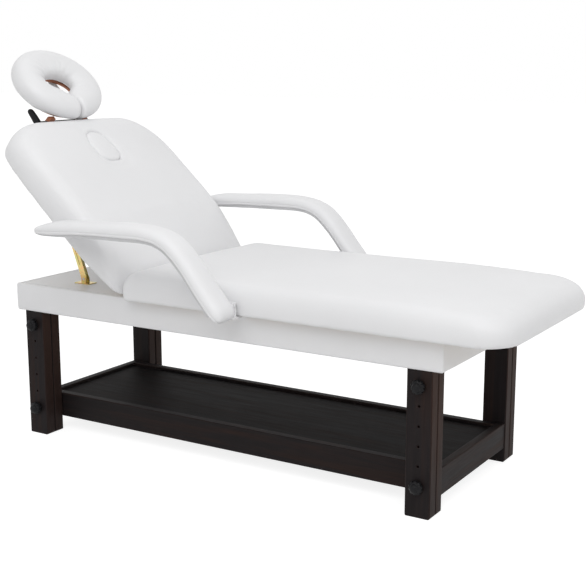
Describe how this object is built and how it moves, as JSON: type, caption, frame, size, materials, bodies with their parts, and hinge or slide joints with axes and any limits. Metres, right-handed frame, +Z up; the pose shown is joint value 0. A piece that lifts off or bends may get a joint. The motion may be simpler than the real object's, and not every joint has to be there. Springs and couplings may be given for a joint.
{
  "type": "treatment table",
  "caption": "Stationary padded treatment table with a lifting backrest, face cradle, swinging armrests, height-adjusting wooden legs and a shelf",
  "frame": {"origin": "on the floor, below the middle of the table", "axes": "+X along the table towards the foot end, +Y across it to the left of a person lying face up, +Z up"},
  "size_m": [2.0252, 1, 1.3334],
  "materials": {
    "white_upholstery": "satin",
    "white_vinyl": "satin",
    "espresso_wood": "satin",
    "plywood": "matte",
    "red_plywood": "satin",
    "steel": "satin",
    "yellow_zinc": "satin",
    "black_steel": "satin",
    "black_plastic": "matte",
    "strap_webbing": "matte"
  },
  "bodies": {
    "base": {"inner_leg_head_right": "espresso_wood", "inner_leg_head_left": "espresso_wood", "inner_leg_foot_right": "espresso_wood", "inner_leg_foot_left": "espresso_wood", "shelf_rail_right": "espresso_wood", "shelf_rail_left": "espresso_wood", "shelf_rail_head": "espresso_wood", "shelf_rail_foot": "espresso_wood", "shelf_panel": "espresso_wood"},
    "bed": {"outer_leg_head_right": "espresso_wood", "outer_leg_head_left": "espresso_wood", "outer_leg_foot_right": "espresso_wood", "outer_leg_foot_left": "espresso_wood", "box_side_right": "white_vinyl", "box_side_left": "white_vinyl", "box_end_head": "white_vinyl", "box_end_foot": "white_vinyl", "platform_panel": "white_vinyl", "seat_board": "plywood", "seat_cushion": "white_upholstery", "hinge_box_leaves": "steel", "hinge_pins": "steel", "strut_base_brackets": "yellow_zinc", "strut_base_pins": "steel", "arm_brackets": "steel", "arm_bolts": "steel", "clamp_nuts": "steel"},
    "backrest": {"back_rail_head": "plywood", "back_rail_hinge": "plywood", "back_rail_right": "plywood", "back_rail_left": "plywood", "back_panel": "plywood", "back_cushion": "white_upholstery", "hinge_back_leaves": "steel", "strut_top_brackets": "yellow_zinc", "strut_top_pins": "steel"},
    "face_plug": {"face_plug": "white_upholstery"},
    "strut_channel_right": {"strut_channel_right": "yellow_zinc"},
    "strut_channel_left": {"strut_channel_left": "yellow_zinc"},
    "strut_bar_right": {"strut_bar_right": "yellow_zinc"},
    "strut_bar_left": {"strut_bar_left": "yellow_zinc"},
    "armrest_right": {"arm_board_right": "white_vinyl", "arm_pad_right": "white_upholstery"},
    "armrest_left": {"arm_board_left": "white_vinyl", "arm_pad_left": "white_upholstery"},
    "cradle_slide": {"cradle_rods": "black_steel", "cradle_bar": "black_steel"},
    "cradle_head": {"cradle_cheeks": "red_plywood", "cradle_plate": "red_plywood", "cradle_strap": "strap_webbing", "headrest_cushion": "white_upholstery"},
    "cradle_lever": {"cradle_lever": "black_plastic"},
    "knob_head_right_low": {"knob_head_right_low": "black_plastic"},
    "knob_head_right_high": {"knob_head_right_high": "black_plastic"},
    "knob_head_left_low": {"knob_head_left_low": "black_plastic"},
    "knob_head_left_high": {"knob_head_left_high": "black_plastic"},
    "knob_foot_right_low": {"knob_foot_right_low": "black_plastic"},
    "knob_foot_right_high": {"knob_foot_right_high": "black_plastic"},
    "knob_foot_left_low": {"knob_foot_left_low": "black_plastic"},
    "knob_foot_left_high": {"knob_foot_left_high": "black_plastic"}
  },
  "joints": [
    {"name": "height_adjust", "type": "slide", "parent": "base", "child": "bed", "axis": [0, 0, 1], "range_m": [0, 0.24]},
    {"name": "backrest_tilt", "type": "hinge", "parent": "bed", "child": "backrest", "pos_m": [-0.319, 0, 0.541], "axis": [0, 1, 0], "range_deg": [-42, 8]},
    {"name": "face_plug_lift", "type": "slide", "parent": "backrest", "child": "face_plug", "axis": [0.6691, 0, 0.7431], "range_m": [0, 0.12]},
    {"name": "strut_channel_right_pivot", "type": "hinge", "parent": "bed", "child": "strut_channel_right", "pos_m": [-0.60118, -0.213, 0.553], "axis": [0, 1, 0], "range_deg": [-69, 14]},
    {"name": "strut_bar_right_pivot", "type": "hinge", "parent": "backrest", "child": "strut_bar_right", "pos_m": [-0.74751, -0.2238, 0.95725], "axis": [0, 1, 0], "range_deg": [-27, 6]},
    {"name": "strut_channel_left_pivot", "type": "hinge", "parent": "bed", "child": "strut_channel_left", "pos_m": [-0.60118, 0.213, 0.553], "axis": [0, 1, 0], "range_deg": [-69, 14]},
    {"name": "strut_bar_left_pivot", "type": "hinge", "parent": "backrest", "child": "strut_bar_left", "pos_m": [-0.74751, 0.2238, 0.95725], "axis": [0, 1, 0], "range_deg": [-27, 6]},
    {"name": "armrest_right_swing", "type": "hinge", "parent": "bed", "child": "armrest_right", "pos_m": [0.137, -0.433, 0.568], "axis": [0, 1, 0], "range_deg": [-30, 60]},
    {"name": "armrest_left_swing", "type": "hinge", "parent": "bed", "child": "armrest_left", "pos_m": [0.137, 0.433, 0.568], "axis": [0, 1, 0], "range_deg": [-30, 60]},
    {"name": "cradle_extend", "type": "slide", "parent": "backrest", "child": "cradle_slide", "axis": [-0.7431, 0, 0.6691], "range_m": [0, 0.06]},
    {"name": "cradle_tilt", "type": "hinge", "parent": "cradle_slide", "child": "cradle_head", "pos_m": [-0.87085, 0, 1.07288], "axis": [0, 1, 0], "range_deg": [-45, 0]},
    {"name": "cradle_lever_turn", "type": "hinge", "parent": "cradle_head", "child": "cradle_lever", "pos_m": [-0.87085, -0.137, 1.07288], "axis": [0, 1, 0], "range_deg": [-90, 0]},
    {"name": "knob_head_right_low_turn", "type": "hinge", "parent": "bed", "child": "knob_head_right_low", "pos_m": [-0.7395, -0.329, 0.0954], "axis": [0, -1, 0], "continuous": true},
    {"name": "knob_head_right_high_turn", "type": "hinge", "parent": "bed", "child": "knob_head_right_high", "pos_m": [-0.7395, -0.329, 0.3954], "axis": [0, -1, 0], "continuous": true},
    {"name": "knob_head_left_low_turn", "type": "hinge", "parent": "bed", "child": "knob_head_left_low", "pos_m": [-0.7395, 0.329, 0.0954], "axis": [0, 1, 0], "continuous": true},
    {"name": "knob_head_left_high_turn", "type": "hinge", "parent": "bed", "child": "knob_head_left_high", "pos_m": [-0.7395, 0.329, 0.3954], "axis": [0, 1, 0], "continuous": true},
    {"name": "knob_foot_right_low_turn", "type": "hinge", "parent": "bed", "child": "knob_foot_right_low", "pos_m": [0.7395, -0.329, 0.0954], "axis": [0, -1, 0], "continuous": true},
    {"name": "knob_foot_right_high_turn", "type": "hinge", "parent": "bed", "child": "knob_foot_right_high", "pos_m": [0.7395, -0.329, 0.3954], "axis": [0, -1, 0], "continuous": true},
    {"name": "knob_foot_left_low_turn", "type": "hinge", "parent": "bed", "child": "knob_foot_left_low", "pos_m": [0.7395, 0.329, 0.0954], "axis": [0, 1, 0], "continuous": true},
    {"name": "knob_foot_left_high_turn", "type": "hinge", "parent": "bed", "child": "knob_foot_left_high", "pos_m": [0.7395, 0.329, 0.3954], "axis": [0, 1, 0], "continuous": true}
  ],
  "couplings": [
    {"joint": "strut_channel_right_pivot", "follows": "backrest_tilt", "ratio": 1.6224},
    {"joint": "strut_bar_right_pivot", "follows": "backrest_tilt", "ratio": 0.6224},
    {"joint": "strut_channel_left_pivot", "follows": "backrest_tilt", "ratio": 1.6224},
    {"joint": "strut_bar_left_pivot", "follows": "backrest_tilt", "ratio": 0.6224}
  ]
}
